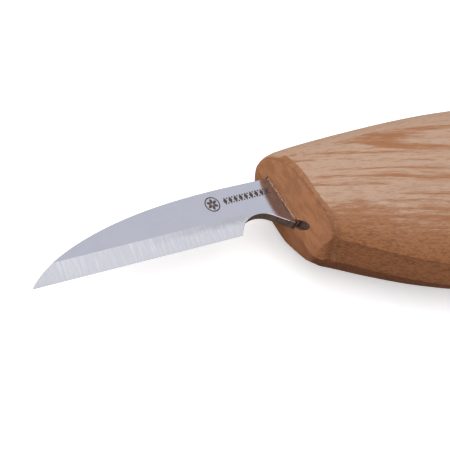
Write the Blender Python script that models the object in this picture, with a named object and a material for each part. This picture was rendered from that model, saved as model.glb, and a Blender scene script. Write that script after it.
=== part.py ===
"""Fixed-blade whittling knife: a straight-edged carving blade whose tang is glued into a
one-piece hardwood handle. The knife lies on the flat of its handle's cheek.

The pieces are drawn in the blade's own frame, in metres: x runs from the tip towards the
butt with 0 at the heel of the cutting edge, y runs from the edge (0) to the spine, and z
runs across the thickness with 0 in the middle plane. The empty knife_frame, which every
piece hangs on, lays that frame down in the world.
"""

import math

import bmesh
import bpy
import numpy as np
from mathutils import Matrix

MM = 0.001

# Blade and tang
EDGE_LENGTH = 44 * MM
BLADE_DEPTH = 9.65 * MM         # edge to spine above the heel
STOCK = 2.0 * MM                # thickness of the steel
EDGE_THICKNESS = 0.08 * MM      # what is left at the cutting edge
BEVEL_HEIGHT = 3.5 * MM         # edge to the line where the grind meets the flat
BEVEL_END = 2.2 * MM            # the grind stops this far behind the heel
CHOIL_RADIUS = 5.2 * MM
CHOIL_CENTRE = (4.5 * MM, -2.2 * MM)
HEEL_CUT = 1.9 * MM             # up to this height the choil is cut straight, from the heel
RAMP_ANGLE = math.radians(36)   # the choil runs out straight at this slope
TANG_FOOT = -0.5 * MM           # lowest point of the steel, at the mouth of the slot
SPINE_AT_HANDLE = 9.4 * MM
SHOULDER_X = 16 * MM            # here the steel steps down to the hidden tang
TANG_END = 62 * MM
TANG_FRONT = (0.3 * MM, 8.0 * MM)       # foot and top of the tang at the shoulder
TANG_BACK = (-1.8 * MM, 3.0 * MM)       # and at its end: it droops with the handle

# Slot, mortise and glue
GAP = 0.3 * MM                  # clearance between any two pieces
MOUTH_WIDTH = STOCK + 2 * GAP
MORTISE_WIDTH = 4.8 * MM
MORTISE_END = 66 * MM
MORTISE_FRONT = (-2.6 * MM, 9.0 * MM)
MORTISE_BACK = (-4.6 * MM, 5.6 * MM)

# The oval nick beside the foot of the steel, where the slot was opened up by hand
RELIEF_SIZE = (0.6 * MM, 1.6 * MM)      # half width and half length
RELIEF_CENTRE = (-1.4 * MM, 1.7 * MM)   # y and z
RELIEF_SLANT = math.radians(-45)
RELIEF_DEPTH = 1.2 * MM

# Handle
NOSE_X = 11.0 * MM              # the ridge down the middle of the nose, at the edge's height
NOSE_LEAN = 0.12                # the ridge leans forward this much per unit of y
NOSE_SLOPE = 0.28               # how far each half of the nose falls back, per unit of z
FOOT_SLOPE = 0.56               # the same at the foot of the nose
NOSE_MIDDLE = 2.0 * MM          # the chamfer round the nose is drawn in towards this y
NOSE_TOP_ROUND = (10.0 * MM, 6.0 * MM)      # the nose falls back above this y, on this radius
NOSE_FOOT_ROUND = (-5.6 * MM, 3.2 * MM)

# The hand-sanded chamfer around the nose: how far it cuts into the front and how far it runs
# back along the side. The places are 0 at the top, 1 at the widest point, 2 at the crease and
# 3 at the belly.
CHAMFER_PLACES = (0, 0.5, 1, 1.5, 2, 3)
CHAMFER_INSETS = np.array([1.0, 0.6, 0.45, 0.6, 1.0, 0.8]) * MM
CHAMFER_DEPTHS = np.array([1.9, 1.3, 0.4, 0.7, 1.8, 1.8]) * MM
# Under the nose's foot the front runs on, rounded, by this much before the belly begins
FOOT_PLACES = (1.7, 2, 3)
FOOT_RUN = np.array([0, 0.6, 1.5]) * MM
BUTT_X = 119 * MM
BUTT_ROUND = 9 * MM
CHEEK = 10.15 * MM              # the cheeks are sanded flat at this distance from the middle
ROUNDNESS = 2.3                 # exponent of the section's curves, 2 is an ellipse
SIDE_STEPS = 9                  # facets from the top, and from the belly, to the widest point

# The handle droops towards the butt. Each station is its distance from the heel, the height
# of the top, of the widest point and of the belly, and half the thickness.
HANDLE_STATIONS = np.array([
    (10.0, 13.6, 2.0, -7.3, 7.3),
    (15.0, 14.0, 2.0, -9.3, 8.0),
    (23.0, 14.2, 2.0, -13.7, 8.8),
    (31.0, 14.2, 1.8, -17.8, 9.5),
    (39.0, 14.1, 1.2, -21.0, 10.0),
    (47.0, 13.8, 0.0, -23.1, 10.3),
    (58.0, 12.7, -1.9, -24.4, 10.4),
    (75.0, 8.9, -4.6, -24.6, 10.1),
    (92.0, 5.0, -7.0, -24.2, 9.5),
    (107.0, 1.9, -8.8, -24.0, 9.0),
    (119.0, 0.0, -10.0, -24.2, 8.6),
]) * MM

# The belly is a shallow keel: two facets from a crease on each side down to the middle plane
CREASE_RISE = (1.9 * MM, 2.0 * MM)      # at the nose and at the palm
CREASE_HALF = (4.65 * MM, 4.1 * MM)
NOSE_TO_PALM = (16 * MM, 35 * MM)


def clear_scene():
    """Remove the objects that Blender starts with."""
    for obj in list(bpy.data.objects):
        bpy.data.objects.remove(obj)


def make_collection(name):
    """Add a collection to the scene."""
    collection = bpy.data.collections.new(name)
    bpy.context.scene.collection.children.link(collection)
    return collection


def make_material(name, color, roughness, metallic):
    """A plain Principled material."""
    material = bpy.data.materials.new(name)
    material.use_nodes = True
    shader = material.node_tree.nodes["Principled BSDF"]
    shader.inputs["Base Color"].default_value = (*color, 1)
    shader.inputs["Roughness"].default_value = roughness
    shader.inputs["Metallic"].default_value = metallic
    material.diffuse_color = (*color, 1)
    return material


def add_object(name, mesh, collection, material=None):
    """Hang a mesh on the knife's frame, as an object of its own."""
    obj = bpy.data.objects.new(name, mesh)
    collection.objects.link(obj)
    obj.parent = bpy.data.objects["knife_frame"]
    if material:
        mesh.materials.append(material)
    return obj


def make_cutter(name, mesh):
    """A hidden object that a Boolean takes away."""
    cutter = add_object(name, mesh, bpy.data.collections["cutters"])
    cutter.hide_render = True
    cutter.display_type = "WIRE"
    return cutter


def cut(obj, cutter):
    """Take the cutter out of the object."""
    boolean = obj.modifiers.new(f"cut_{cutter.name}", "BOOLEAN")
    boolean.operation = "DIFFERENCE"
    boolean.solver = "EXACT"
    boolean.object = cutter


def box_mesh(name, low, high):
    """A box between two corners."""
    mesh = bpy.data.meshes.new(name)
    shape = bmesh.new()
    bmesh.ops.create_cube(shape, size=1)
    size = [b - a for a, b in zip(low, high)]
    middle = [(a + b) / 2 for a, b in zip(low, high)]
    bmesh.ops.scale(shape, vec=size, verts=shape.verts)
    bmesh.ops.translate(shape, vec=middle, verts=shape.verts)
    shape.to_mesh(mesh)
    shape.free()
    return mesh


def plate_mesh(name, outline, thickness):
    """A flat plate of the given outline, centred on the middle plane."""
    curve = bpy.data.curves.new(name, "CURVE")
    curve.dimensions = "2D"
    curve.fill_mode = "BOTH"
    curve.extrude = thickness / 2
    spline = curve.splines.new("POLY")
    spline.points.add(len(outline) - 1)
    for point, (x, y) in zip(spline.points, outline):
        point.co = (x, y, 0, 1)
    spline.use_cyclic_u = True
    obj = bpy.data.objects.new(name, curve)
    bpy.context.scene.collection.objects.link(obj)
    graph = bpy.context.evaluated_depsgraph_get()
    mesh = bpy.data.meshes.new_from_object(obj.evaluated_get(graph))
    bpy.data.objects.remove(obj)
    shape = bmesh.new()
    shape.from_mesh(mesh)
    bmesh.ops.remove_doubles(shape, verts=shape.verts, dist=1e-6)
    bmesh.ops.recalc_face_normals(shape, faces=shape.faces)
    shape.to_mesh(mesh)
    shape.free()
    mesh.name = name
    return mesh


# ---------------------------------------------------------------- blade

def spine_height(x):
    """Height of the spine above the edge line, from the heel forward to the tip."""
    reach = min(max(-x / EDGE_LENGTH, 0), 1)
    return BLADE_DEPTH * (1 - reach ** 2.4) ** 0.75


def spine_points(count=30):
    """The spine from the tip to the heel, with closer points where it curves down to the tip."""
    turns = [math.pi / 2 * i / count for i in range(count + 1)]
    places = [-EDGE_LENGTH * math.cos(turn) for turn in turns]
    return [(x, spine_height(x)) for x in places]


def choil_points(count=12):
    """The scallop behind the heel, from the ramp's start forward to the straight cut."""
    cx, cy = CHOIL_CENTRE
    start = math.pi / 2 - RAMP_ANGLE
    end = math.pi - math.asin((HEEL_CUT - cy) / CHOIL_RADIUS)
    turns = [start + (end - start) * i / count for i in range(count + 1)]
    return [(cx + CHOIL_RADIUS * math.cos(t), cy + CHOIL_RADIUS * math.sin(t)) for t in turns]


def blade_outline():
    """Outline of the whole steel: blade, ricasso and tang, clockwise from the tip."""
    choil = choil_points()
    ramp_x, ramp_y = choil[0]
    foot_x = ramp_x + (ramp_y - TANG_FOOT) / math.tan(RAMP_ANGLE)
    tang = [
        (NOSE_X + GAP, SPINE_AT_HANDLE),
        (SHOULDER_X, SPINE_AT_HANDLE),
        (SHOULDER_X, TANG_FRONT[1]),
        (TANG_END, TANG_BACK[1]),
        (TANG_END, TANG_BACK[0]),
        (SHOULDER_X, TANG_FRONT[0]),
        (SHOULDER_X, TANG_FOOT),
        (foot_x, TANG_FOOT),
    ]
    heel = [(0, 0)]
    return spine_points() + tang + choil + heel


def bevel_cutter(side):
    """Everything outside one ground face. side is 1 for the upper face and -1 for the lower."""
    edge_z = EDGE_THICKNESS / 2
    slope = (STOCK / 2 - edge_z) / BEVEL_HEIGHT
    below, above = -3 * MM, BEVEL_HEIGHT + 2 * MM
    front, back = -EDGE_LENGTH - 2 * MM, BEVEL_END
    outline = [
        (below, edge_z + slope * below),
        (above, edge_z + slope * above),
        (above, 4 * MM),
        (below, 4 * MM),
    ]
    mesh = plate_mesh(f"grind_{'upper' if side > 0 else 'lower'}", outline, back - front)
    # The plate's outline is (y, z), so its own thickness turns to lie along x.
    for vertex in mesh.vertices:
        y, z, along = vertex.co
        vertex.co = ((front + back) / 2 + along, y, side * z)
    if side < 0:
        mesh.flip_normals()
    return make_cutter(mesh.name, mesh)


def make_blade(parts):
    """The steel: one plate, ground to a wedge from both sides."""
    mesh = plate_mesh("blade", blade_outline(), STOCK)
    steel = make_material("blade_steel", (0.62, 0.63, 0.67), 0.28, 1.0)
    blade = add_object("blade", mesh, parts, steel)
    for side in (1, -1):
        cut(blade, bevel_cutter(side))
    return blade


# ---------------------------------------------------------------- handle

def smooth(x, places, values):
    """Value at x of the smooth curve through the given values (a cubic through each pair)."""
    slopes = np.gradient(values, places)
    i = int(np.clip(np.searchsorted(places, x) - 1, 0, len(places) - 2))
    width = places[i + 1] - places[i]
    t = (x - places[i]) / width
    return (
        (2 * t**3 - 3 * t**2 + 1) * values[i]
        + (t**3 - 2 * t**2 + t) * width * slopes[i]
        + (3 * t**2 - 2 * t**3) * values[i + 1]
        + (t**3 - t**2) * width * slopes[i + 1]
    )


def between(x, pair):
    """A value that goes from the pair's first at the nose to its second at the palm."""
    return float(np.interp(x, NOSE_TO_PALM, pair))


def half_section(x):
    """Half of the handle's section at x, as (y, z) from the top down to the belly."""
    places = HANDLE_STATIONS[:, 0]
    top, widest, belly, half = (smooth(x, places, column) for column in HANDLE_STATIONS.T[1:])
    crease_y = belly + between(x, CREASE_RISE)
    crease_z = between(x, CREASE_HALF)
    power = 2 / ROUNDNESS
    points = []
    for i in range(SIDE_STEPS + 1):
        turn = math.pi / 2 * i / SIDE_STEPS
        y = widest + (top - widest) * math.cos(turn) ** power
        points.append((y, half * math.sin(turn) ** power))
    # The lower side is the same kind of curve, scaled to pass through the crease.
    lean = (1 - (crease_z / half) ** ROUNDNESS) ** (1 / ROUNDNESS)
    drop = (widest - crease_y) / lean
    last_turn = math.acos((crease_z / half) ** (1 / power))
    for i in range(1, SIDE_STEPS + 1):
        turn = last_turn * i / SIDE_STEPS
        y = widest - drop * math.sin(turn) ** power
        points.append((y, half * math.cos(turn) ** power))
    points.append((belly, 0))
    points[0] = (top, 0)
    return [(y, min(z, CHEEK)) for y, z in points]


def nose_x(y, z):
    """Where the nose's surface is: two facets that meet in a ridge, rounded above and below."""
    high, high_radius = NOSE_TOP_ROUND
    low, low_radius = NOSE_FOOT_ROUND
    above = min(max(y - high, 0), high_radius * 0.98)
    below = min(max(low - y, 0), low_radius * 0.98)
    rounding = high_radius - math.sqrt(high_radius**2 - above**2)
    rounding += low_radius - math.sqrt(low_radius**2 - below**2)
    slope = float(np.interp(y, (low, 0), (FOOT_SLOPE, NOSE_SLOPE)))
    return NOSE_X - NOSE_LEAN * max(y, 0) + slope * z + rounding


def nose_rings():
    """The ridge, the rim of the front facets and the back of the chamfer around them."""
    start = half_section(NOSE_X + 3 * MM)
    places = [i / SIDE_STEPS for i in range(2 * SIDE_STEPS + 1)] + [3]
    back = []
    rim = []
    for i, (place, (y, z)) in enumerate(zip(places, start)):
        x = nose_x(y, z) + float(np.interp(place, CHAMFER_PLACES, CHAMFER_DEPTHS))
        y, z = half_section(x)[i]
        back.append((x, y, z))
        inset = float(np.interp(place, CHAMFER_PLACES, CHAMFER_INSETS))
        shrink = 1 - inset / math.hypot(y - NOSE_MIDDLE, z)
        y, z = NOSE_MIDDLE + (y - NOSE_MIDDLE) * shrink, z * shrink
        rim.append((nose_x(y, z) + float(np.interp(place, FOOT_PLACES, FOOT_RUN)), y, z))
    ridge = [(nose_x(y, 0), y, 0) for _, y, _ in rim]
    return [ridge, rim, back]


def handle_rings():
    """All half rings from the nose's ridge to the butt, each listed from top to belly."""
    rings = nose_rings()
    straight = [18, 20.5, 23, 26, 29, 32, 35.5, 39, 43, 47, 52, 58, 64, 70, 76, 82, 88, 94, 100, 105]
    for x in straight:
        rings.append([(x * MM, y, z) for y, z in half_section(x * MM)])
    middle = (HANDLE_STATIONS[-1, 1] + HANDLE_STATIONS[-1, 3]) / 2
    for i in range(9):
        turn = math.pi / 2 * i / 9
        x = BUTT_X - BUTT_ROUND * (1 - math.sin(turn))
        shrink = math.cos(turn) ** 0.8
        section = half_section(x)
        rings.append([(x, middle + (y - middle) * shrink, z * shrink) for y, z in section])
    return rings


def handle_mesh():
    """The handle as a loft: half of it is skinned from ring to ring, then mirrored."""
    mesh = bpy.data.meshes.new("handle")
    shape = bmesh.new()
    rings = [[shape.verts.new(point) for point in ring] for ring in handle_rings()]
    for ring, following in zip(rings, rings[1:]):
        for i in range(len(ring) - 1):
            shape.faces.new((ring[i], following[i], following[i + 1], ring[i + 1]))
    middle = (HANDLE_STATIONS[-1, 1] + HANDLE_STATIONS[-1, 3]) / 2
    pole = shape.verts.new((BUTT_X, middle, 0))
    for a, b in zip(rings[-1], rings[-1][1:]):
        shape.faces.new((a, pole, b))
    bmesh.ops.remove_doubles(shape, verts=shape.verts, dist=1e-6)
    bmesh.ops.dissolve_degenerate(shape, edges=shape.edges, dist=1e-7)
    mirrored = bmesh.ops.duplicate(shape, geom=shape.verts[:] + shape.edges[:] + shape.faces[:])
    twins = [item for item in mirrored["geom"] if isinstance(item, bmesh.types.BMVert)]
    for vertex in twins:
        vertex.co.z = -vertex.co.z
    bmesh.ops.remove_doubles(shape, verts=shape.verts, dist=1e-6)
    bmesh.ops.recalc_face_normals(shape, faces=shape.faces)
    shape.to_mesh(mesh)
    shape.free()
    return mesh


def mouth_cutter():
    """The narrow slot that the steel enters through."""
    low = (NOSE_X - 3 * MM, TANG_FOOT - GAP, -MOUTH_WIDTH / 2)
    high = (SHOULDER_X + GAP, SPINE_AT_HANDLE + GAP, MOUTH_WIDTH / 2)
    return make_cutter("slot_mouth", box_mesh("slot_mouth", low, high))


def mortise_outline(front, inset):
    """Outline of the mortise, set in from its walls, from the given x to its end."""
    back = MORTISE_END - inset
    return [
        (front, MORTISE_FRONT[1] - inset),
        (back, MORTISE_BACK[1] - inset),
        (back, MORTISE_BACK[0] + inset),
        (front, MORTISE_FRONT[0] + inset),
    ]


def mortise_cutter():
    """The wider, hidden pocket that holds the tang and the glue."""
    outline = mortise_outline(SHOULDER_X, 0)
    return make_cutter("mortise", plate_mesh("mortise", outline, MORTISE_WIDTH))


def relief_cutter():
    """A short oval nick at the lower end of the slot, slanting away from the steel."""
    mesh = bpy.data.meshes.new("slot_relief")
    shape = bmesh.new()
    bmesh.ops.create_cone(
        shape, cap_ends=True, segments=20, radius1=1, radius2=1, depth=2 * RELIEF_DEPTH
    )
    bmesh.ops.scale(shape, vec=(*RELIEF_SIZE, 1), verts=shape.verts)
    lay = Matrix.Rotation(RELIEF_SLANT, 3, "X") @ Matrix.Rotation(math.pi / 2, 3, "Y")
    bmesh.ops.rotate(shape, matrix=lay, verts=shape.verts)
    shape.to_mesh(mesh)
    shape.free()
    cutter = make_cutter("slot_relief", mesh)
    cutter.location = (NOSE_X, *RELIEF_CENTRE)
    return cutter


def make_handle(parts):
    """The wooden handle, slotted and mortised for the tang."""
    wood = make_material("handle_wood", (0.50, 0.31, 0.18), 0.55, 0.0)
    handle = add_object("handle", handle_mesh(), parts, wood)
    for cutter in (mouth_cutter(), mortise_cutter(), relief_cutter()):
        cut(handle, cutter)
    handle.data.shade_smooth()
    handle.data.set_sharp_from_angle(angle=math.radians(14))
    return handle


# ---------------------------------------------------------------- glue

def tang_pocket():
    """The space inside the glue: the tang with its clearance all round."""
    front, back = SHOULDER_X - 2 * MM, TANG_END + GAP
    outline = [
        (front, TANG_FRONT[1] + GAP),
        (SHOULDER_X, TANG_FRONT[1] + GAP),
        (back, TANG_BACK[1] + GAP),
        (back, TANG_BACK[0] - GAP),
        (SHOULDER_X, TANG_FRONT[0] - GAP),
        (front, TANG_FRONT[0] - GAP),
    ]
    return make_cutter("tang_pocket", plate_mesh("tang_pocket", outline, MOUTH_WIDTH))


def make_glue(parts):
    """The cured bed of epoxy that fills the mortise around the tang."""
    outline = mortise_outline(SHOULDER_X + 2 * GAP, GAP)
    mesh = plate_mesh("tang_epoxy", outline, MORTISE_WIDTH - 2 * GAP)
    resin = make_material("tang_resin", (0.62, 0.50, 0.34), 0.4, 0.0)
    glue = add_object("tang_epoxy", mesh, parts, resin)
    cut(glue, tang_pocket())
    return glue


def lay_down():
    """The empty that lays the knife on its cheek, centred on the world's origin."""
    frame = bpy.data.objects.new("knife_frame", None)
    bpy.context.scene.collection.objects.link(frame)
    section = [half_section(x * MM) for x in range(10, 120)]
    top = max(y for points in section for y, _ in points)
    belly = min(y for points in section for y, _ in points)
    frame.location = ((EDGE_LENGTH - BUTT_X) / 2, -(top + belly) / 2, CHEEK)
    return frame


def main():
    clear_scene()
    parts = make_collection("whittling_knife")
    make_collection("cutters")
    lay_down()
    make_blade(parts)
    make_handle(parts)
    make_glue(parts)


main()
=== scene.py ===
"""Looks of the whittling knife: a carbon-steel blade in an oiled hardwood handle, lying on its
cheek on a pale table.

The pieces are drawn in the blade's own frame, in millimetres: x runs from the tip towards the
butt with 0 at the heel of the cutting edge, y runs from the edge (0) to the spine, and z runs
across the thickness with 0 in the middle plane. HEEL is where that frame's origin lies in the
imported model.
"""

import math

import bmesh
import bpy
import numpy as np
from mathutils import Matrix, Quaternion, Vector, noise


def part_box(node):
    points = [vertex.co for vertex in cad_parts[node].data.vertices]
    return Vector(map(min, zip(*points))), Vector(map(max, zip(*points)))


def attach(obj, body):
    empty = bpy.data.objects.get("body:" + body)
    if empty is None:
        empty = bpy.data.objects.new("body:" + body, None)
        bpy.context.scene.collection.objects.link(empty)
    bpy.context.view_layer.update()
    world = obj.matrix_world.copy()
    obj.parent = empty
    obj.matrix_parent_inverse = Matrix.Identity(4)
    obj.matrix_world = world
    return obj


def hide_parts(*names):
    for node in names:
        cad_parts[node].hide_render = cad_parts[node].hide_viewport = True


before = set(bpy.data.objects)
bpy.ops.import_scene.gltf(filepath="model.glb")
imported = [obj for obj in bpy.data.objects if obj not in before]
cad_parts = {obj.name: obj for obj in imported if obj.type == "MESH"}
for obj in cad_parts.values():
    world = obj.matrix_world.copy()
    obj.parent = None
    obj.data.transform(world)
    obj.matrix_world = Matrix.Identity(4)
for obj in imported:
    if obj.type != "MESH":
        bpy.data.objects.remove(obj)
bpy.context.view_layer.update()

MM = 0.001
BLADE_LOW, BLADE_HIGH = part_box("blade")

# Blade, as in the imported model
EDGE_LENGTH = 44.0
BLADE_DEPTH = 9.65
HALF_STOCK = 1.0
BEVEL_HEIGHT = 3.5
BEVEL_FOOT = 0.04               # half thickness that the main grind would leave at the edge
MICRO_HEIGHT = 0.5              # height of the honed secondary bevel
KEEN = 0.012                    # half thickness left at the honed edge
PLUNGE = (1.2, 5.5)             # the grind runs out into the flat between these x
CHOIL_RADIUS = 5.2
CHOIL_CENTRE = (4.5, -2.2)
HEEL_CUT = 1.9                  # the choil is cut straight up to this height
RAMP_SLOPE = math.tan(math.radians(36))
TANG_FOOT = -0.5
SPINE_AT_HANDLE = 9.4
SHOULDER_X = 16.0
TANG_END = 62.0
TANG_FRONT = (0.3, 8.0)
TANG_BACK = (-1.8, 3.0)
SPINE_CURVE = (2.4, 0.75)       # powers that shape the spine's fall to the point
EASED = 0.07                    # the arrises of the steel are broken by this much
EASED_SHARE = 0.6               # but never by more than this share of the half thickness
HEEL_SLACK = 0.05
BEVEL_BACK = 2.0                # the ground finish ends here, behind the heel
BEVEL_EDGE = BEVEL_HEIGHT + 0.12        # a row just above the grind, which keeps its line crisp
SIDE_ROWS = [0.25, MICRO_HEIGHT, 1.1, 1.9, 2.7, BEVEL_HEIGHT, BEVEL_EDGE]
SIDE_ROWS += [4.4, 5.3, 6.2, 7.1, 8.0, 8.8]
LEAST_GAP = 0.015               # rows on the steel's side never lie closer than this
NARROW_STEEL = 0.6              # where the steel is narrower than this, the rows are spread evenly
SECTION_RUNS = (                # from, to and step of the sections along the steel
    (-43.96, -37, 0.24),
    (-37, -2, 0.7),
    (-2, -0.1, 0.2),
    (0, 0.7, 0.06),
    (0.75, 13.5, 0.2),
)

# Etched pattern: a rosette in a ring, then a border
ETCH_SUNK = 0.02
ETCH_PROUD = 0.006
ROSETTE_CENTRE = (-3.3, 7.0)
PETALS = 6
PETAL_SIZE = (1.1, 0.58)        # length and width
PETAL_GAP = 0.12                # from the centre to where a petal starts
RING_RADII = (1.3, 1.54)
RING_TAPER = 0.02               # each short stroke of the ring is this much narrower at one end
BORDER_START = -0.9
BORDER_PITCH = 1.14
BORDER_REPEATS = 9
LOZENGE_HALF = (0.42, 0.8)
DOT_OFFSET = (0.97, 0.5)        # from a lozenge's near corner, and above and below it
DOT_RADIUS = 0.17

# Slot and mortise
MOUTH_HALF = 1.3
MORTISE_HALF = 2.4
MORTISE_END = 66.0
MORTISE_FRONT = (-2.6, 9.0)
MORTISE_BACK = (-4.6, 5.6)
MOUTH_PLAY = 0.3                # between the mouth and the steel's spine and foot
CUT_CLEAR = 3.0                 # the mouth's cutter starts this far in front of the nose
NICK_SIZE = (0.9, 2.0)          # half axes of the oval nick beside the steel's foot
NICK_CENTRE = (-1.35, 1.32)     # its y and z on the nose
NICK_DEPTH = 1.2
NICK_SLANT = math.radians(-45)  # its long axis runs down and away from the steel
FILLER_INSET = 0.5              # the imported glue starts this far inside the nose
FILLER_TOP = 0.6
FILLER_PLAY = 0.02              # and stays this far off the walls of the mouth
GLUE_BEADS = 84                 # rings along each bead of the glue line
BEAD_RADIUS = (0.13, 0.14, 0.75)        # the least, plus the slow swelling, plus the flecks
BEAD_OFF_STEEL = 0.1
BEAD_INTO_WOOD = 0.04
BEAD_FLATNESS = 0.8

# Handle
NOSE_X = 11.0
NOSE_LEAN = 0.12
NOSE_SLOPE = 0.28
FOOT_SLOPE = 0.56
NOSE_MIDDLE = 2.0
NOSE_TOP_ROUND = (10.0, 6.0)
NOSE_FOOT_ROUND = (-5.6, 3.2)
ROUND_SHARE = 0.98              # the roundings stop just short of square to the nose
CHAMFER_PLACES = (0, 0.5, 1, 1.5, 2, 3)      # top, widest point, crease and belly are 0, 1, 2, 3
CHAMFER_INSETS = (1.0, 0.6, 0.45, 0.6, 1.0, 0.8)
CHAMFER_DEPTHS = (1.9, 1.3, 0.4, 0.7, 1.8, 1.8)
FOOT_PLACES = (1.7, 2, 3)     # under the nose the front runs on by FOOT_RUN before the belly
FOOT_RUN = (0, 0.6, 1.5)
CHAMFER_SWELL = 0.2             # the chamfer is rounded outwards by this much at the top
BUTT_X = 119.0
BUTT_ROUND = 9.0
BUTT_STEPS = 16
BUTT_FULLNESS = 0.8             # under 1 the butt is squarer than a half circle
CHEEK = 10.15                   # half thickness at the flat that the knife lies on
ROUNDNESS = 2.3
SIDE_STEPS = 20
HANDLE_STATIONS = np.array([    # x, top, widest point, belly, half thickness
    (10.0, 13.6, 2.0, -7.3, 7.3),
    (15.0, 14.0, 2.0, -9.3, 8.0),
    (23.0, 14.2, 2.0, -13.7, 8.8),
    (31.0, 14.2, 1.8, -17.8, 9.5),
    (39.0, 14.1, 1.2, -21.0, 10.0),
    (47.0, 13.8, 0.0, -23.1, 10.3),
    (58.0, 12.7, -1.9, -24.4, 10.4),
    (75.0, 8.9, -4.6, -24.6, 10.1),
    (92.0, 5.0, -7.0, -24.2, 9.5),
    (107.0, 1.9, -8.8, -24.0, 9.0),
    (119.0, 0.0, -10.0, -24.2, 8.6),
])
STATION_X = HANDLE_STATIONS[:, 0]
STATION_SLOPES = [np.gradient(column, STATION_X) for column in HANDLE_STATIONS.T[1:]]
CREASE_RISE = (1.9, 2.0)
CREASE_HALF = (4.65, 4.1)
NOSE_TO_PALM = (16.0, 35.0)
FULL_X = 18.0                   # from here on every row is a full section, ROW_STEP apart
ROW_STEP = 1.2
LINE_GAP = 0.3                  # the rows on either side of a crease lie this far from it
CREASE_COLUMN = 2 * SIDE_STEPS + 1      # the crease's place in a half ring
NOSE_SHARES = (0, 0.25, 0.5, 0.75, 0.93)        # rings between the nose's ridge and its rim
BEHIND_SHARES = (0.04, 0.2, 0.4, 0.6, 0.8, 1)   # rings between the chamfer and FULL_X
RIM_RING = len(NOSE_SHARES)     # the nose's rim among the handle's rings
CHAMFER_RINGS = slice(RIM_RING + 1, RIM_RING + 3)

# How dark the tool's lines are drawn, 0 to 1; on the chamfer it is partly painted shade
RIM_LINES = (0.8, 0.85)         # above and below the handle's widest point
CHAMFER_SHADE = 0.62             # on the lower half of the chamfer
CORNER_LINE = 0.8               # where the chamfer crosses the crease
CREASE_LINE = 1.0

# Wood grain, in the blade's frame
GRAIN_TURN = math.radians(14)   # the grain runs this much down towards the belly
RING_WIDTH = 1.7
RING_TILT = 0.35                # the rings lie across the thickness, leaning by this much
ARCH_TIP = (21.0, 15.4)         # along and across the grain
ARCH_SPREAD = 0.5

# Wood colours
# The pale colour is the wood's pale grain and also painted sheen on the spine's side
PALE_WOOD_AND_SHEEN = (0.47, 0.30, 0.205, 1)
TAN_WOOD = (0.338, 0.137, 0.050, 1)
FLECK_WOOD = (0.19, 0.068, 0.024, 1)
# Pores as lit, and as in painted shade towards the belly
LIT_PORE = (0.30, 0.125, 0.052, 1)
SHADED_PORE = (0.19, 0.068, 0.024, 1)
END_WOOD = (0.47, 0.22, 0.11, 1)
DARKER_END_GRAIN = (0.27, 0.105, 0.045, 1)
# Painted shade on the belly and keel
PAINTED_BELLY_SHADE = (0.105, 0.027, 0.007, 1)
DARK_LINE_AND_SHADE = (0.09, 0.03, 0.013, 1)

# Painted reflection: the steel is painted darker beside the handle, where its nose is mirrored
HANDLE_REFLECTION_X = (7.2, 8.1)             # the painted reflection comes up between these x, at the height below
HANDLE_REFLECTION_MIDDLE = 5.2
HANDLE_REFLECTION_BOW = 0.09                 # above and below it starts nearer the handle
HANDLE_REFLECTION_COLOR = (0.31, 0.33, 0.42, 1)

# Studio
CARD_COLOR = (0.56, 0.43, 0.33, 1)      # what the table throws back on the knife
TABLE_GLOW = 0.45
SKY_AXIS = (0.4, 0.3, 0.87)
SKY_TURN = (0.2, 0.85)          # cosines from the axis between which the light grows
SKY_STRENGTH = (0.27, 0.84)
SKY_COLOR = (0.95, 0.97, 1.0, 1)

# Camera, as an angle round the object, in degrees, and millimetres
CAMERA_AZIMUTH = -57.36
CAMERA_ELEVATION = 50.18
CAMERA_ROLL = 36.0
CAMERA_TARGET = (-2.15, 3.0, -0.16)
CAMERA_DISTANCE = 535.5
LENS = 239.6

HEEL = Vector((
    BLADE_LOW.x + EDGE_LENGTH * MM,
    BLADE_HIGH.y - BLADE_DEPTH * MM,
    (BLADE_LOW.z + BLADE_HIGH.z) / 2,
))


# ---------------------------------------------------------------- meshes

def add_piece(name, shape, materials, smooth_under=None):
    """Turn a bmesh drawn in millimetres into an object in the blade's frame.

    Edges that turn by less than smooth_under, in degrees, are shaded smooth.
    """
    bmesh.ops.recalc_face_normals(shape, faces=shape.faces)
    bmesh.ops.scale(shape, vec=(MM, MM, MM), verts=shape.verts)
    mesh = bpy.data.meshes.new(name)
    shape.to_mesh(mesh)
    shape.free()
    for material in materials:
        mesh.materials.append(material)
    if smooth_under:
        mesh.shade_smooth()
        mesh.set_sharp_from_angle(angle=math.radians(smooth_under))
    piece = bpy.data.objects.new(name, mesh)
    piece.location = HEEL
    bpy.context.scene.collection.objects.link(piece)
    return piece


def skin(shape, rings, closed):
    """Quads from each ring of vertices to the next. Gives the faces, ring by ring."""
    rows = []
    for ring, following in zip(rings, rings[1:]):
        row = []
        for i in range(len(ring) if closed else len(ring) - 1):
            j = (i + 1) % len(ring)
            row.append(shape.faces.new((ring[i], following[i], following[j], ring[j])))
        rows.append(row)
    return rows


def prism(shape, outline, low, high):
    """Add a closed straight-sided body: the outline (x, y) from z low to z high."""
    floor = [shape.verts.new((x, y, low)) for x, y in outline]
    roof = [shape.verts.new((x, y, high)) for x, y in outline]
    shape.faces.new(floor[::-1])
    shape.faces.new(roof)
    skin(shape, [floor, roof], closed=True)


def soft_step(value, low, high):
    """0 below low, 1 above high and a smooth rise between."""
    t = min(max((value - low) / (high - low), 0), 1)
    return t * t * (3 - 2 * t)


# ---------------------------------------------------------------- blade

def spine_y(x):
    """Upper outline of the steel."""
    if x <= 0:
        reach = min(-x / EDGE_LENGTH, 1)
        return BLADE_DEPTH * (1 - reach ** SPINE_CURVE[0]) ** SPINE_CURVE[1]
    if x <= SHOULDER_X:
        return float(np.interp(x, (0, NOSE_X), (BLADE_DEPTH, SPINE_AT_HANDLE)))
    return float(np.interp(x, (SHOULDER_X, TANG_END), (TANG_FRONT[1], TANG_BACK[1])))


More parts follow.
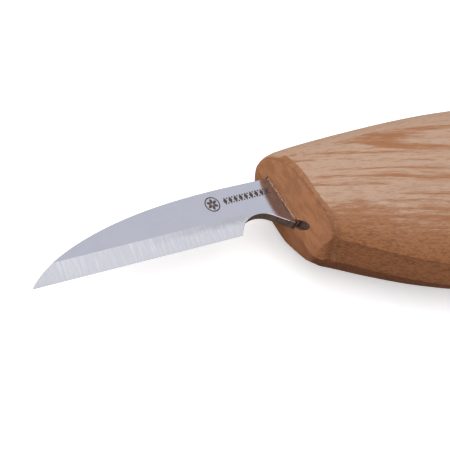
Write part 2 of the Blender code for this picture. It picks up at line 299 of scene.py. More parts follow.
def foot_y(x):
    """Lower outline of the steel: edge, choil, ramp and tang."""
    cx, cy = CHOIL_CENTRE
    cut_x = cx - math.sqrt(CHOIL_RADIUS**2 - (HEEL_CUT - cy) ** 2)
    ramp_x = cx + CHOIL_RADIUS * math.cos(math.atan(1 / RAMP_SLOPE))
    if x <= cut_x:
        return HEEL_CUT * max(x, 0) / cut_x
    if x <= ramp_x:
        return cy + math.sqrt(CHOIL_RADIUS**2 - (x - cx) ** 2)
    if x <= SHOULDER_X:
        ramp_y = cy + math.sqrt(CHOIL_RADIUS**2 - (ramp_x - cx) ** 2)
        return max(ramp_y - RAMP_SLOPE * (x - ramp_x), TANG_FOOT)
    return float(np.interp(x, (SHOULDER_X, TANG_END), (TANG_FRONT[0], TANG_BACK[0])))


def half_thickness(x, y):
    """Half the steel's thickness: the honed edge, then the flat grind, then full stock."""
    slope = (HALF_STOCK - BEVEL_FOOT) / BEVEL_HEIGHT
    ground = min(BEVEL_FOOT + slope * y, HALF_STOCK)
    if y < MICRO_HEIGHT:
        shoulder = BEVEL_FOOT + slope * MICRO_HEIGHT
        ground = KEEN + (shoulder - KEEN) * max(y, 0) / MICRO_HEIGHT
    out = soft_step(x, *PLUNGE)
    return ground + (HALF_STOCK - ground) * out


def side_heights(x):
    """Where one side's points lie between the foot and the spine. Gives them from the foot up."""
    low, high = foot_y(x), spine_y(x)
    count = len(SIDE_ROWS)
    if high - low < NARROW_STEEL:
        return [low + (high - low) * (i + 1) / (count + 1) for i in range(count)]
    return [
        min(max(y, low + EASED + LEAST_GAP * (i + 1)), high - EASED - LEAST_GAP * (count - i))
        for i, y in enumerate(SIDE_ROWS)
    ]


def blade_section(x):
    """The steel's closed section at x, as (y, z), from the foot up the near side and back."""
    low, high = foot_y(x), spine_y(x)
    foot_half, spine_half = half_thickness(x, low), half_thickness(x, high)
    foot_ease = min(EASED, foot_half * EASED_SHARE)
    spine_ease = min(EASED, spine_half * EASED_SHARE)
    side = [(low, foot_half - foot_ease), (low + 0.3 * foot_ease, foot_half - 0.3 * foot_ease)]
    side += [(y, half_thickness(x, y)) for y in side_heights(x)]
    side += [(high - 0.3 * spine_ease, spine_half - 0.3 * spine_ease)]
    side += [(high, spine_half - spine_ease)]
    return side + [(y, -z) for y, z in reversed(side)]


def blade_places():
    """Where the sections lie along the steel, closer together where its outline turns."""
    places = [x for run in SECTION_RUNS for x in np.arange(*run)]
    # Then the end of the ricasso, the shoulder and the tang
    places += [14.5, SHOULDER_X, SHOULDER_X + 0.01]
    places += list(np.linspace(SHOULDER_X + 2, TANG_END, 12))
    return [float(x) for x in places]


def make_blade(flat, bevel, sheared):
    """The steel in one piece: ground and honed edge, scalloped choil, ricasso and tang."""
    shape = bmesh.new()
    places = blade_places()
    rings = []
    for x in places:
        rings.append([shape.verts.new((x, y, z)) for y, z in blade_section(x)])
    rows = skin(shape, rings, closed=True)
    shape.faces.new(rings[0])
    shape.faces.new(rings[-1][::-1])
    count = len(rings[0])
    for x, row in zip(places, rows):
        for i, face in enumerate(row):
            middle = face.calc_center_median()
            on_spine = i == count // 2 - 1
            on_foot_behind_edge = i == count - 1 and x > -HEEL_SLACK
            if on_spine or on_foot_behind_edge:
                face.material_index = 2
            elif middle.y < BEVEL_HEIGHT and x < BEVEL_BACK:
                face.material_index = 1
    piece = add_piece("blade_steel", shape, (flat, bevel, sheared), smooth_under=4)
    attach(piece, "root")
    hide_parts("blade")


# ---------------------------------------------------------------- etched motif

def petal(cx, cy, turn, length, width, count=8):
    """A pointed oval that starts at (cx, cy) and runs out in the direction turn."""
    points = []
    for side in (1, -1):
        for i in range(count):
            along = i / count if side > 0 else 1 - i / count
            across = side * width / 2 * math.sin(math.pi * along)
            points.append((
                cx + length * along * math.cos(turn) - across * math.sin(turn),
                cy + length * along * math.sin(turn) + across * math.cos(turn),
            ))
    return points


def circle(cx, cy, radius, count):
    """Points round a circle."""
    turns = np.linspace(0, 2 * math.pi, count + 1)[:-1]
    return [(cx + radius * math.cos(t), cy + radius * math.sin(t)) for t in turns]


def make_motif(material):
    """A plain chip-carver's pattern in place of a mark: a six-petal rosette and a border."""
    shape = bmesh.new()
    low, high = HALF_STOCK - ETCH_SUNK, HALF_STOCK + ETCH_PROUD
    cx, cy = ROSETTE_CENTRE
    for i in range(PETALS):
        turn = 2 * math.pi * (i + 0.5) / PETALS
        start = (cx + PETAL_GAP * math.cos(turn), cy + PETAL_GAP * math.sin(turn))
        prism(shape, petal(*start, turn, *PETAL_SIZE), low, high)
    inner, outer = RING_RADII
    ring = [(math.cos(t), math.sin(t)) for t in np.linspace(0, 2 * math.pi, 37)]
    for (ax, ay), (bx, by) in zip(ring, ring[1:]):
        outline = [(cx + ax * (inner + RING_TAPER), cy + ay * inner)]
        outline += [(cx + bx * inner, cy + by * inner)]
        outline += [(cx + bx * (outer - RING_TAPER), cy + by * outer)]
        outline += [(cx + ax * outer, cy + ay * outer)]
        prism(shape, outline, low, high)
    long, tall = LOZENGE_HALF
    for i in range(BORDER_REPEATS):
        x = BORDER_START + BORDER_PITCH * i
        lozenge = [(x, cy), (x + long, cy - tall), (x + 2 * long, cy), (x + long, cy + tall)]
        prism(shape, lozenge, low, high)
        for dot_y in (cy - DOT_OFFSET[1], cy + DOT_OFFSET[1]):
            prism(shape, circle(x + DOT_OFFSET[0], dot_y, DOT_RADIUS, 8), low, high)
    piece = add_piece("etched_motif", shape, (material,))
    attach(piece, "root")


# ---------------------------------------------------------------- handle

def station(x):
    """Top, widest point, belly and half thickness at x, on a smooth curve through the table."""
    i = int(np.clip(np.searchsorted(STATION_X, x) - 1, 0, len(STATION_X) - 2))
    width = STATION_X[i + 1] - STATION_X[i]
    t = (x - STATION_X[i]) / width
    start, start_slope = 2 * t**3 - 3 * t**2 + 1, (t**3 - 2 * t**2 + t) * width
    end, end_slope = 3 * t**2 - 2 * t**3, (t**3 - t**2) * width
    return [
        start * column[i] + start_slope * slopes[i]
        + end * column[i + 1] + end_slope * slopes[i + 1]
        for column, slopes in zip(HANDLE_STATIONS.T[1:], STATION_SLOPES)
    ]


def crease(x):
    """(y, z) of the line where the side meets the belly facet."""
    belly = station(x)[2]
    rise = float(np.interp(x, NOSE_TO_PALM, CREASE_RISE))
    return belly + rise, float(np.interp(x, NOSE_TO_PALM, CREASE_HALF))


def half_section(x):
    """Half of the handle's section at x, as (y, z) from the top down to the belly."""
    top, widest, belly, half = station(x)
    crease_y, crease_z = crease(x)
    power = 2 / ROUNDNESS
    points = []
    for i in range(SIDE_STEPS + 1):
        turn = math.pi / 2 * i / SIDE_STEPS
        y = widest + (top - widest) * math.cos(turn) ** power
        points.append((y, half * math.sin(turn) ** power))
    points[0] = (top, 0.0)
    lean = (1 - (crease_z / half) ** ROUNDNESS) ** (1 / ROUNDNESS)
    drop = (widest - crease_y) / lean
    last_turn = math.acos((crease_z / half) ** (1 / power))
    for i in range(1, SIDE_STEPS + 1):
        turn = last_turn * i / SIDE_STEPS
        points.append((widest - drop * math.sin(turn) ** power, half * math.cos(turn) ** power))
    # A row just above the crease, then the belly facet down to the keel.
    (ay, az), (by, bz) = points[-2:]
    share = LINE_GAP / math.hypot(ay - by, az - bz)
    points.insert(-1, (by + (ay - by) * share, bz + (az - bz) * share))
    length = math.hypot(crease_y - belly, crease_z)
    for share in (LINE_GAP / length, 0.5, 1 - LINE_GAP / length, 1):
        y = crease_y + (belly - crease_y) * share
        points.append((y, crease_z * (1 - share)))
    return [(y, min(z, CHEEK)) for y, z in points]


def nose_x(y, z):
    """Where the nose's surface is: two facets that meet in a ridge, rounded above and below."""
    high, high_radius = NOSE_TOP_ROUND
    low, low_radius = NOSE_FOOT_ROUND
    above = min(max(y - high, 0), high_radius * ROUND_SHARE)
    below = min(max(low - y, 0), low_radius * ROUND_SHARE)
    rounding = high_radius - math.sqrt(high_radius**2 - above**2)
    rounding += low_radius - math.sqrt(low_radius**2 - below**2)
    slope = float(np.interp(y, (low, 0), (FOOT_SLOPE, NOSE_SLOPE)))
    return NOSE_X - NOSE_LEAN * max(y, 0) + slope * z + rounding


def nose_rings():
    """Rings from the ridge of the nose over its rim and chamfer to the first full section."""
    start = half_section(NOSE_X + 3)
    # Each column's place round the half, counted as in CHAMFER_PLACES
    places = [i / SIDE_STEPS for i in range(2 * SIDE_STEPS)] + [1.98, 2, 2.06, 2.5, 2.94, 3]
    back = []
    rim = []
    runs = np.interp(places, FOOT_PLACES, FOOT_RUN)
    for i, (spot, (y, z)) in enumerate(zip(places, start)):
        x = nose_x(y, z) + float(np.interp(spot, CHAMFER_PLACES, CHAMFER_DEPTHS))
        y, z = half_section(x)[i]
        back.append((x, y, z))
        inset = float(np.interp(spot, CHAMFER_PLACES, CHAMFER_INSETS))
        shrink = 1 - inset / math.hypot(y - NOSE_MIDDLE, z)
        y, z = NOSE_MIDDLE + (y - NOSE_MIDDLE) * shrink, z * shrink
        rim.append((nose_x(y, z) + runs[i], y, z))
    rings = []
    for share in NOSE_SHARES:
        rings.append([
            (nose_x(y, z * share) + run * share**2, y, z * share)
            for run, (_, y, z) in zip(runs, rim)
        ])
    rings.append(rim)
    swell = np.interp(places, (0, 1), (CHAMFER_SWELL, 0))
    between = [
        ((a[0] + b[0]) / 2 - swell[i], (a[1] + b[1]) / 2 + swell[i], (a[2] + b[2]) / 2)
        for i, (a, b) in enumerate(zip(rim, back))
    ]
    rings += [between, back]
    for share in BEHIND_SHARES:
        ring = []
        for i, (x, _, _) in enumerate(back):
            x += (FULL_X - x) * share
            ring.append((x, *half_section(x)[i]))
        rings.append(ring)
    return rings


def handle_rings():
    """All half rings from the nose's ridge to the butt, each listed from top to belly."""
    rings = nose_rings()
    for x in np.arange(FULL_X + ROW_STEP, BUTT_X - BUTT_ROUND, ROW_STEP):
        rings.append([(float(x), y, z) for y, z in half_section(float(x))])
    last = station(BUTT_X)
    middle = (last[0] + last[2]) / 2
    for i in range(BUTT_STEPS):
        turn = math.pi / 2 * i / BUTT_STEPS
        x = BUTT_X - BUTT_ROUND * (1 - math.sin(turn))
        shrink = math.cos(turn) ** BUTT_FULLNESS
        rings.append([(x, middle + (y - middle) * shrink, z * shrink) for y, z in half_section(x)])
    return rings, (BUTT_X, middle, 0.0)


def slot_cutters(sawn):
    """Helper objects: the steel's mouth in the nose, the mortise behind it, the nick beside it."""
    mouth = bmesh.new()
    low, high = TANG_FOOT - MOUTH_PLAY, SPINE_AT_HANDLE + MOUTH_PLAY
    front, back = NOSE_X - CUT_CLEAR, SHOULDER_X + MOUTH_PLAY
    outline = [(front, low), (back, low), (back, high), (front, high)]
    prism(mouth, outline, -MOUTH_HALF, MOUTH_HALF)
    mortise = bmesh.new()
    outline = [(SHOULDER_X, MORTISE_FRONT[0]), (MORTISE_END, MORTISE_BACK[0])]
    outline += [(MORTISE_END, MORTISE_BACK[1]), (SHOULDER_X, MORTISE_FRONT[1])]
    prism(mortise, outline, -MORTISE_HALF, MORTISE_HALF)
    nick = bmesh.new()
    outline = [(NICK_SIZE[0] * x, NICK_SIZE[1] * y) for x, y in circle(0, 0, 1, 24)]
    prism(nick, outline, -NICK_DEPTH, NICK_DEPTH)
    lay = Matrix.Rotation(NICK_SLANT, 3, "X") @ Matrix.Rotation(math.pi / 2, 3, "Y")
    bmesh.ops.rotate(nick, matrix=lay, verts=nick.verts)
    bmesh.ops.translate(nick, vec=(NOSE_X, *NICK_CENTRE), verts=nick.verts)
    shapes = {"mouth": mouth, "mortise": mortise, "nick": nick}
    return [add_piece(name, shape, (sawn,)) for name, shape in shapes.items()]


def carve(piece, cutters):
    """Take the cutters out of the piece for good, with their material left on the cuts."""
    for tool in cutters:
        boolean = piece.modifiers.new(tool.name, "BOOLEAN")
        boolean.operation = "DIFFERENCE"
        boolean.solver = "EXACT"
        boolean.material_mode = "TRANSFER"
        boolean.object = tool
    graph = bpy.context.evaluated_depsgraph_get()
    carved = bpy.data.meshes.new_from_object(piece.evaluated_get(graph))
    piece.modifiers.clear()
    piece.data = carved
    for tool in cutters:
        bpy.data.objects.remove(tool)


def make_handle(wood, sawn):
    """The wooden handle: lofted, its tool marks softened by hand, then slotted for the tang."""
    shape = bmesh.new()
    firm = shape.verts.layers.int.new("firm")
    line = shape.verts.layers.float.new("dark_line_and_shade")
    rings, pole = handle_rings()
    grid = [[shape.verts.new(point) for point in ring] for ring in rings]
    for column, vertex in enumerate(grid[RIM_RING]):
        vertex[firm] = 1
        vertex[line] = RIM_LINES[0] if column < SIDE_STEPS else RIM_LINES[1]
    for ring in grid[RIM_RING:]:
        ring[CREASE_COLUMN][firm] = 1
        ring[CREASE_COLUMN][line] = CREASE_LINE
    # The chamfer is drawn darker: partly its end-grain tone, partly painted shade
    for ring in grid[CHAMFER_RINGS]:
        for vertex in ring:
            vertex[firm] = 1
        for vertex in ring[SIDE_STEPS // 2:]:
            vertex[line] = CHAMFER_SHADE
        for vertex in ring[CREASE_COLUMN - 5:CREASE_COLUMN + 3]:
            vertex[line] = CORNER_LINE
    skin(shape, grid, closed=False)
    tip = shape.verts.new(pole)
    for a, b in zip(grid[-1], grid[-1][1:]):
        shape.faces.new((a, tip, b))
    bmesh.ops.remove_doubles(shape, verts=shape.verts, dist=1e-4)
    bmesh.ops.dissolve_degenerate(shape, edges=shape.edges, dist=1e-5)
    copied = bmesh.ops.duplicate(shape, geom=shape.verts[:] + shape.edges[:] + shape.faces[:])
    for item in copied["geom"]:
        if isinstance(item, bmesh.types.BMVert):
            item.co.z = -item.co.z
    bmesh.ops.remove_doubles(shape, verts=shape.verts, dist=1e-4)
    soft = [vertex for vertex in shape.verts if not vertex[firm]]
    for _ in range(2):
        bmesh.ops.smooth_vert(
            shape, verts=soft, factor=0.5, use_axis_x=True, use_axis_y=True, use_axis_z=True
        )
    piece = add_piece("carved_handle", shape, (wood,))
    carve(piece, slot_cutters(sawn))
    piece.data.shade_smooth()
    piece.data.set_sharp_from_angle(angle=math.radians(16))
    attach(piece, "root")
    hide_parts("handle")


# ---------------------------------------------------------------- glue line

def make_glue_line(resin):
    """Beads of squeezed-out epoxy that close the slot on both faces of the steel."""
    shape = bmesh.new()
    for side in (1, -1):
        rings = []
        for y in np.linspace(0.1, SPINE_AT_HANDLE + 0.05, GLUE_BEADS):
            # Each face has its own stretch of the noise
            wave = noise.noise(Vector((y * 1.7, side * 5.0, 0))) * 0.5 + 0.5
            fleck = max(noise.noise(Vector((y * 4.1, side * 9.0, 3.0))), 0)
            radius = BEAD_RADIUS[0] + BEAD_RADIUS[1] * wave + BEAD_RADIUS[2] * fleck
            centre_z = HALF_STOCK + BEAD_OFF_STEEL
            centre_x = nose_x(y, centre_z) + BEAD_INTO_WOOD
            ring = []
            for across, out in circle(0, 0, radius, 10):
                point = (centre_x + across, y, side * (centre_z + BEAD_FLATNESS * out))
                ring.append(shape.verts.new(point))
            rings.append(ring)
        skin(shape, rings, closed=True)
        shape.faces.new(rings[0])
        shape.faces.new(rings[-1][::-1])
    piece = add_piece("glue_line", shape, (resin,), smooth_under=40)
    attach(piece, "root")


def make_slot_filler(packed):
    """A dark brown block round the foot of the steel, just inside the mouth of the slot."""
    shape = bmesh.new()
    front, high = NOSE_X + FILLER_INSET, FILLER_TOP
    low, half = TANG_FOOT - MOUTH_PLAY + FILLER_PLAY, MOUTH_HALF - FILLER_PLAY
    outline = [(front, low), (SHOULDER_X, low), (SHOULDER_X, high), (front, high)]
    prism(shape, outline, -half, half)
    piece = add_piece("slot_filler", shape, (packed,))
    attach(piece, "root")


# ---------------------------------------------------------------- materials

class Graph:
    """Short calls for wiring one material."""

    def __init__(self, name):
        self.material = bpy.data.materials.new(name)
        self.material.use_nodes = True
        self.tree = self.material.node_tree
        self.shader = self.tree.nodes["Principled BSDF"]

    def add(self, kind, inputs=(), **settings):
        """A node with its settings, and values or links for its inputs."""
        node = self.tree.nodes.new(kind)
        for key, value in settings.items():
            setattr(node, key, value)
        for key, value in dict(inputs).items():
            self.feed(node.inputs[key], value)
        return node

    def feed(self, socket, value):
        """Give a socket a number or another node's output."""
        if isinstance(value, bpy.types.NodeSocket):
            self.tree.links.new(value, socket)
        else:
            socket.default_value = value

    def math(self, operation, a, b=0.0):
        node = self.add("ShaderNodeMath", {0: a, 1: b}, operation=operation)
        return node.outputs[0]

    def mix(self, factor, a, b):
        """A colour between a and b: a where the factor is 0, b where it is 1."""
        node = self.add("ShaderNodeMix", data_type="RGBA")
        self.feed(node.inputs[0], factor)
        self.feed(node.inputs[6], a)
        self.feed(node.inputs[7], b)
        return node.outputs[2]

    def stretch(self, vector, scale, turn=(0, 0, 0)):
        """The coordinates scaled, then turned."""
        inputs = {"Vector": vector, "Scale": scale, "Rotation": turn}
        return self.add("ShaderNodeMapping", inputs).outputs[0]

    def noise(self, vector, scale=1.0, detail=2.0, roughness=0.5):
        inputs = {"Vector": vector, "Scale": scale, "Detail": detail, "Roughness": roughness}
        return self.add("ShaderNodeTexNoise", inputs)

    def ramp(self, value, low, high, start=0.0, end=1.0):
        """The value stretched so that low gives start and high gives end, and held there."""
        inputs = {0: value, 1: low, 2: high, 3: start, 4: end}
        return self.add("ShaderNodeMapRange", inputs, interpolation_type="SMOOTHSTEP").outputs[0]

    def bump(self, height, strength, distance, normal=None):
        inputs = {"Height": height, "Strength": strength, "Distance": distance}
        node = self.add("ShaderNodeBump", inputs)
        if normal:
            self.feed(node.inputs["Normal"], normal)
        return node.outputs[0]

    def object_mm(self):
        """Coordinates in the blade's frame, in millimetres."""
        where = self.add("ShaderNodeTexCoord").outputs["Object"]
        return self.stretch(where, (1 / MM, 1 / MM, 1 / MM))

    def finish(self, **inputs):
        """Set the shader's inputs, written with _ for a space."""
        for key, value in inputs.items():
            self.feed(self.shader.inputs[key.replace("_", " ")], value)
        return self.material


def wood_material():
    """Oiled ring-porous hardwood: planar rings, one arch, streaks, pore dashes and end grain."""
    g = Graph("oiled_hardwood")
    grain = g.stretch(g.object_mm(), (1, 1, 1), (0, 0, GRAIN_TURN))
    bend = g.noise(g.stretch(grain, (0.03, 0.14, 0.14)), 1.0, 2.0).outputs["Color"]
    bend = g.add("ShaderNodeVectorMath", {0: bend, 1: (0.5, 0.5, 0.5)}, operation="SUBTRACT")
    bend = g.add("ShaderNodeVectorMath", {0: bend.outputs[0], 1: (2, 3, 3)}, operation="MULTIPLY")
    bent = g.add("ShaderNodeVectorMath", {0: grain, 1: bend.outputs[0]}, operation="ADD")
    along, across, depth = g.add("ShaderNodeSeparateXYZ", {0: bent.outputs[0]}).outputs
    layer = g.math("ADD", across, g.math("MULTIPLY", depth, RING_TILT))
    ring = g.math("FRACT", g.math("DIVIDE", layer, RING_WIDTH))
    early = g.math("MULTIPLY", g.ramp(ring, 0.0, 0.15), g.ramp(ring, 0.2, 0.6, 1, 0))
    # Where a ring just grazes the cheek it shows as a dark arch that opens towards the butt
    arch = g.math("MULTIPLY", g.math("SUBTRACT", along, ARCH_TIP[0]), ARCH_SPREAD)
    arch = g.math("SUBTRACT", arch, g.math("POWER", g.math("SUBTRACT", across, ARCH_TIP[1]), 2))
    arch = g.math("MULTIPLY", g.ramp(arch, -1.5, 1.5), g.ramp(arch, 4.5, 7.5, 1, 0))

    # All of these are drawn out along the grain
    streaks = g.noise(g.stretch(grain, (0.11, 2.2, 2.2)), 1.0, 3.0, 0.6).outputs[0]
    fibres = g.noise(g.stretch(grain, (1.1, 4.2, 4.2)), 1.0, 3.0, 0.6).outputs[0]
    patches = g.noise(g.stretch(grain, (0.06, 0.35, 0.35)), 1.0, 2.0).outputs[0]
    dash_field = g.noise(g.stretch(grain, (0.22, 2.9, 2.9)), 1.0, 2.0, 0.5).outputs[0]
    limit = g.math("SUBTRACT", 0.60, g.math("MULTIPLY", early, 0.07))
    dashes = g.ramp(g.math("SUBTRACT", dash_field, limit), -0.02, 0.08)

    normal = g.add("ShaderNodeNewGeometry").outputs["Normal"]
    fibre = (math.cos(GRAIN_TURN), -math.sin(GRAIN_TURN), 0)
    facing = g.add("ShaderNodeVectorMath", {0: normal, 1: fibre}, operation="DOT_PRODUCT")
    end_grain = g.ramp(g.math("ABSOLUTE", facing.outputs["Value"]), 0.35, 0.95)
    # 1 where the surface faces the spine's side, -1 where it faces the belly's
    up = g.add("ShaderNodeSeparateXYZ", {0: normal}).outputs[1]
    line = g.add("ShaderNodeAttribute", attribute_name="dark_line_and_shade").outputs["Fac"]

    # Painted sheen and shade: paler where the surface faces the spine's side, darker to the belly
    pale = g.ramp(up, -0.65, 0.05, -0.35, 0.95)
    pale = g.math("ADD", pale, g.ramp(patches, 0.3, 0.7, 0.15, -0.15))
    ring_depth = g.ramp(patches, 0.35, 0.65, 0.15, 0.55)
    pale = g.math("SUBTRACT", pale, g.math("MULTIPLY", early, ring_depth))
    pale = g.math("SUBTRACT", pale, g.math("MULTIPLY", arch, 0.75))
    # Painted sheen: paler still where the surface faces the spine's side
    pale = g.math("ADD", pale, g.ramp(up, 0.3, 0.85, 0, 0.8))
    pale = g.math("ADD", pale, g.ramp(streaks, 0.3, 0.7, 0.32, -0.32))
    pale = g.math("SUBTRACT", pale, g.math("MULTIPLY", end_grain, 0.9))
    # Dark tool lines, and painted shade on the chamfer, make the wood less pale
    pale = g.math("SUBTRACT", pale, g.ramp(line, 0.25, 0.8, 0, 1.6))
    color = g.mix(g.ramp(pale, 0, 1), TAN_WOOD, PALE_WOOD_AND_SHEEN)

    # Specks, end grain and open pores, all stronger towards the belly
    fleck = g.math("MULTIPLY", g.ramp(fibres, 0.46, 0.64), g.ramp(up, -0.6, 0.0, 0.8, 0.12))
    color = g.mix(fleck, color, FLECK_WOOD)
    color = g.mix(g.math("MULTIPLY", end_grain, 0.5), color, END_WOOD)
    shown = g.math("MULTIPLY", g.ramp(end_grain, 0, 1, 1, 0.3), g.ramp(up, -0.9, 0.0, 1, 0.6))
    dashes = g.math("MULTIPLY", dashes, shown)
    # Painted shade: the pores are drawn darker where the surface faces the belly
    pore = g.mix(g.ramp(up, -0.6, 0.0), SHADED_PORE, LIT_PORE)
    color = g.mix(g.math("MULTIPLY", dashes, 0.65), color, pore)

    # Painted shade along the keel, end grain darker at the nose's foot, and dark tool lines
    under = g.add("ShaderNodeVectorMath", {0: normal, 1: (0, -0.9, -0.4)}, operation="DOT_PRODUCT")
    under = g.ramp(under.outputs["Value"], 0.3, 0.97)
    under = g.math("MULTIPLY", under, g.ramp(fibres, 0.4, 0.62, 0.72, 1.0))
    color = g.mix(g.math("MULTIPLY", under, 0.93), color, PAINTED_BELLY_SHADE)
    # End grain darker in random patches and towards the foot of the nose
    mottle = g.noise(g.stretch(g.object_mm(), (0.9, 0.28, 0.9)), 1.0, 3.0, 0.6).outputs[0]
    height = g.add("ShaderNodeSeparateXYZ", {0: g.object_mm()}).outputs[1]
    mottle = g.math("ADD", g.ramp(mottle, 0.38, 0.6, 0.6, 0), g.ramp(height, -9, -1, 0.85, 0))
    mottle = g.math("MULTIPLY", mottle, end_grain)
    color = g.mix(mottle, color, DARKER_END_GRAIN)
    ragged = g.ramp(g.noise(g.object_mm(), 1.1, 2.0).outputs[0], 0.35, 0.65, 0.25, 1)
    dark_line_and_shade_mask = g.math("MULTIPLY", g.ramp(line, 0.3, 1.0), g.math("MULTIPLY", ragged, 0.6))
    color = g.mix(dark_line_and_shade_mask, color, DARK_LINE_AND_SHADE)

    sheen = g.math("ADD", 0.5, g.math("MULTIPLY", dashes, 0.2))
    sheen = g.math("ADD", sheen, g.math("MULTIPLY", end_grain, 0.3))
    sheen = g.math("ADD", sheen, g.math("MULTIPLY", under, 0.4))
    relief = g.math("SUBTRACT", g.math("MULTIPLY", fibres, 0.35), dashes)
    crumbs = g.noise(g.object_mm(), 2.3, 3.0, 0.6).outputs[0]
    soft = g.bump(crumbs, 0.2, 0.00015)
    fine = g.bump(relief, 0.3, 0.00008, soft)
    return g.finish(Base_Color=color, Roughness=sheen, Normal=fine, IOR=1.5)


def sawn_material():
    """The rough inside of the slot and the nick, dark brown."""
    g = Graph("sawn_slot")
    where = g.object_mm()
    torn = g.noise(where, 3.0, 3.0, 0.7).outputs[0]
    color = g.mix(g.ramp(torn, 0.3, 0.75), (0.085, 0.046, 0.034, 1), (0.135, 0.078, 0.056, 1))
    return g.finish(Base_Color=color, Roughness=0.85, Normal=g.bump(torn, 0.6, 0.0002))


def steel_material(name, color, rough, scratch, scratch_share, ends_shade=0, oiled=0):
    """Ground steel. scratch is the density of its fine scratches along x, y and z.

    ends_shade darkens it towards the heel and the tip; oiled paints a dark reflection by the
    handle.
    """
    g = Graph(name)
    where = g.object_mm()
    lines = g.noise(g.stretch(where, scratch), 1.0, 3.0, 0.6).outputs[0]
    clouds = g.noise(g.stretch(where, (0.25, 0.4, 0.4)), 1.0, 3.0).outputs[0]
    tint = g.mix(g.ramp(clouds, 0.3, 0.75), color, [0.97 * c for c in color[:3]] + [1])
    tint = g.mix(g.ramp(lines, 0.45, 0.75, 0, scratch_share), tint, (0.9, 0.9, 0.93, 1))
    roughness = g.math("ADD", rough - 0.05, g.math("MULTIPLY", lines, 0.1))
    roughness = g.math("ADD", roughness, g.ramp(clouds, 0.4, 0.8, 0, 0.02))
    normal = g.bump(lines, 0.25, 0.00002)
    if ends_shade:
        # Painted shade along the top of the grind near the heel; darker scratches towards the tip
        along, height, _ = g.add("ShaderNodeSeparateXYZ", {0: where}).outputs
        feather = g.noise(g.stretch(where, (0.8, 0.8, 0.8)), 1.0, 2.0).outputs[0]
        height = g.math("ADD", height, g.math("MULTIPLY", feather, 1.2))
        shade = g.math("MULTIPLY", g.ramp(along, -24, 0), g.ramp(height, 2.4, 3.6))
        tip = g.ramp(g.math("MULTIPLY", along, -1), 34, 43, 0, 0.5)
        shade = g.math("MAXIMUM", shade, g.math("MULTIPLY", tip, lines))
        tint = g.mix(g.math("MULTIPLY", shade, ends_shade), tint, (0.42, 0.42, 0.46, 1))
    if oiled:
        # Painted reflection: darker steel where the handle's nose is mirrored in it
        along, height, _ = g.add("ShaderNodeSeparateXYZ", {0: where}).outputs
        bow = g.math("POWER", g.math("SUBTRACT", height, HANDLE_REFLECTION_MIDDLE), 2)
        reach = g.math("SUBTRACT", along, g.math("MULTIPLY", bow, HANDLE_REFLECTION_BOW))
        tint = g.mix(g.ramp(reach, *HANDLE_REFLECTION_X, 0, oiled), tint, HANDLE_REFLECTION_COLOR)
    return g.finish(Base_Color=tint, Metallic=1.0, Roughness=roughness, Normal=normal)


def sheared_material():
    """The cut edges of the steel: dark scale, streaked across the thickness."""
    g = Graph("cut_steel")
    where = g.object_mm()
    streaks = g.noise(g.stretch(where, (5, 5, 0.5)), 1.0, 3.0, 0.7).outputs[0]
    grit = g.noise(where, 6.0, 3.0, 0.7).outputs[0]
    color = g.mix(g.ramp(streaks, 0.35, 0.7), (0.09, 0.068, 0.062, 1), (0.21, 0.17, 0.155, 1))
    color = g.mix(g.ramp(grit, 0.4, 0.8, 0, 0.4), color, (0.05, 0.03, 0.025, 1))
    normal = g.bump(g.math("ADD", streaks, grit), 0.5, 0.00006)
    return g.finish(Base_Color=color, Metallic=0.7, Roughness=0.5, Normal=normal)


def etch_material():
    """Burnt dark brown, as an etched mark leaves on steel."""
    g = Graph("etched_brown")
    where = g.object_mm()
    grit = g.noise(where, 4.0, 3.0, 0.7).outputs[0]
    color = g.mix(g.ramp(grit, 0.3, 0.75), (0.045, 0.024, 0.019, 1), (0.10, 0.062, 0.05, 1))
    normal = g.bump(grit, 0.4, 0.00003)
    return g.finish(Base_Color=color, Metallic=0.2, Roughness=0.55, Normal=normal)


def resin_material():
    """Cured epoxy mixed with wood dust: cream, with pale and brown flecks."""
    g = Graph("dusty_epoxy")
    where = g.object_mm()
    dust = g.noise(where, 2.2, 3.0, 0.7).outputs[0]
    color = g.mix(g.ramp(dust, 0.35, 0.65), (0.27, 0.12, 0.055, 1), (0.45, 0.26, 0.16, 1))
    normal = g.bump(dust, 0.5, 0.0001)
    return g.finish(
        Base_Color=color, Roughness=0.42, Normal=normal, Subsurface_Weight=0.1,
        Subsurface_Scale=0.0005,
    )


def table_material():
    """Matt white table paper that throws only dim warm light back on the knife."""
    g = Graph("table_paper")
    where = g.add("ShaderNodeTexCoord").outputs["Object"]
    mottle = g.noise(where, 300.0, 2.0).outputs[0]
    color = g.mix(g.ramp(mottle, 0.3, 0.7), (0.90, 0.90, 0.90, 1), (0.93, 0.93, 0.93, 1))
    # Only the camera sees it white, so its glare stays off the steel and the belly
    seen = g.add("ShaderNodeLightPath").outputs["Is Camera Ray"]
    color = g.mix(seen, CARD_COLOR, color)
    glow = g.math("MULTIPLY", seen, TABLE_GLOW)
    return g.finish(
        Base_Color=color, Roughness=0.9, Emission_Color=(1, 1, 1, 1), Emission_Strength=glow
    )


# ---------------------------------------------------------------- studio

def make_table():
    """A wide pale table top under the knife."""
    shape = bmesh.new()
    bmesh.ops.create_circle(shape, cap_ends=True, segments=96, radius=3.0)
    mesh = bpy.data.meshes.new("table")
    shape.to_mesh(mesh)
    shape.free()
    mesh.materials.append(table_material())
    table = bpy.data.objects.new("table", mesh)
    bpy.context.scene.collection.objects.link(table)


def make_light(name, direction, distance, size, watts):
    """A round soft light that looks at the knife from the given direction."""
    lamp = bpy.data.lights.new(name, "AREA")
    lamp.shape = "DISK"
    lamp.size = size
    lamp.energy = watts
    obj = bpy.data.objects.new(name, lamp)
    away = Vector(direction).normalized()
    obj.location = away * distance
    obj.rotation_mode = "QUATERNION"
    obj.rotation_quaternion = away.to_track_quat("Z", "Y")
    bpy.context.scene.collection.objects.link(obj)


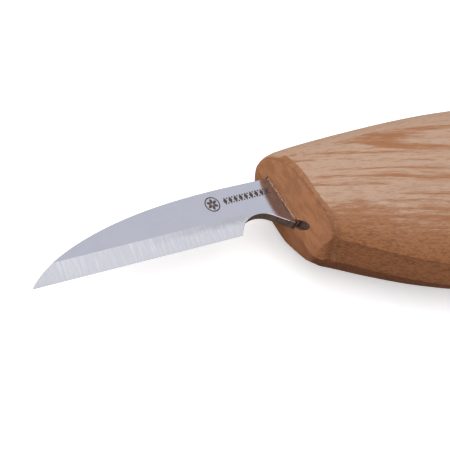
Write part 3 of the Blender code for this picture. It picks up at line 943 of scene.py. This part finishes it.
def make_world():
    """Soft light from all round, brightest overhead, a little towards the butt and the spine."""
    world = bpy.data.worlds.new("studio")
    world.use_nodes = True
    bpy.context.scene.world = world
    nodes, links = world.node_tree.nodes, world.node_tree.links
    where = nodes.new("ShaderNodeTexCoord")
    dot = nodes.new("ShaderNodeVectorMath")
    dot.operation = "DOT_PRODUCT"
    dot.inputs[1].default_value = Vector(SKY_AXIS).normalized()
    links.new(where.outputs["Generated"], dot.inputs[0])
    spread = nodes.new("ShaderNodeMapRange")
    spread.interpolation_type = "SMOOTHSTEP"
    spread.inputs["From Min"].default_value, spread.inputs["From Max"].default_value = SKY_TURN
    spread.inputs["To Min"].default_value, spread.inputs["To Max"].default_value = SKY_STRENGTH
    links.new(dot.outputs["Value"], spread.inputs["Value"])
    back = nodes["Background"]
    back.inputs["Color"].default_value = SKY_COLOR
    # The camera sees a white backdrop, and the knife still gets the graded light
    seen = nodes.new("ShaderNodeLightPath")
    strength = nodes.new("ShaderNodeMath")
    strength.operation = "MAXIMUM"
    links.new(spread.outputs[0], strength.inputs[0])
    links.new(seen.outputs["Is Camera Ray"], strength.inputs[1])
    links.new(strength.outputs[0], back.inputs["Strength"])


def make_camera():
    """The camera at the photograph's angle."""
    azimuth, elevation = math.radians(CAMERA_AZIMUTH), math.radians(CAMERA_ELEVATION)
    back = Vector((
        math.sin(azimuth) * math.cos(elevation),
        -math.cos(azimuth) * math.cos(elevation),
        math.sin(elevation),
    ))
    data = bpy.data.cameras.new("camera")
    data.sensor_width = 36.0
    data.lens = LENS
    data.clip_start = 0.01
    data.clip_end = 100.0
    camera = bpy.data.objects.new("camera", data)
    camera.location = HEEL + Vector(CAMERA_TARGET) * MM + back * CAMERA_DISTANCE * MM
    camera.rotation_mode = "QUATERNION"
    roll = Quaternion((0, 0, 1), math.radians(CAMERA_ROLL))
    camera.rotation_quaternion = (-back).to_track_quat("-Z", "Y") @ roll
    bpy.context.scene.collection.objects.link(camera)
    bpy.context.scene.camera = camera


def main():
    bpy.context.scene.view_settings.view_transform = "Standard"
    # The flat steel carries a painted reflection of the handle beside it
    flat = steel_material(
        "satin_steel", (0.60, 0.60, 0.68, 1), 0.07, (0.4, 9, 9), 0.04, oiled=0.45
    )
    bevel = steel_material(
        "ground_steel", (0.73, 0.725, 0.775, 1), 0.24, (4.0, 0.18, 0.18), 0.6, ends_shade=0.6
    )
    make_blade(flat, bevel, sheared_material())
    make_motif(etch_material())
    sawn = sawn_material()
    make_handle(wood_material(), sawn)
    make_slot_filler(sawn)
    resin = resin_material()
    make_glue_line(resin)
    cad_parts["tang_epoxy"].data.materials.clear()
    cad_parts["tang_epoxy"].data.materials.append(resin)
    make_table()
    make_world()
    make_light("overhead", (-0.35, 0.0, 0.94), 1.3, 2.0, 13)
    make_light("tip_side", (-0.9, 0.1, 0.4), 1.4, 0.8, 4)
    make_camera()


main()
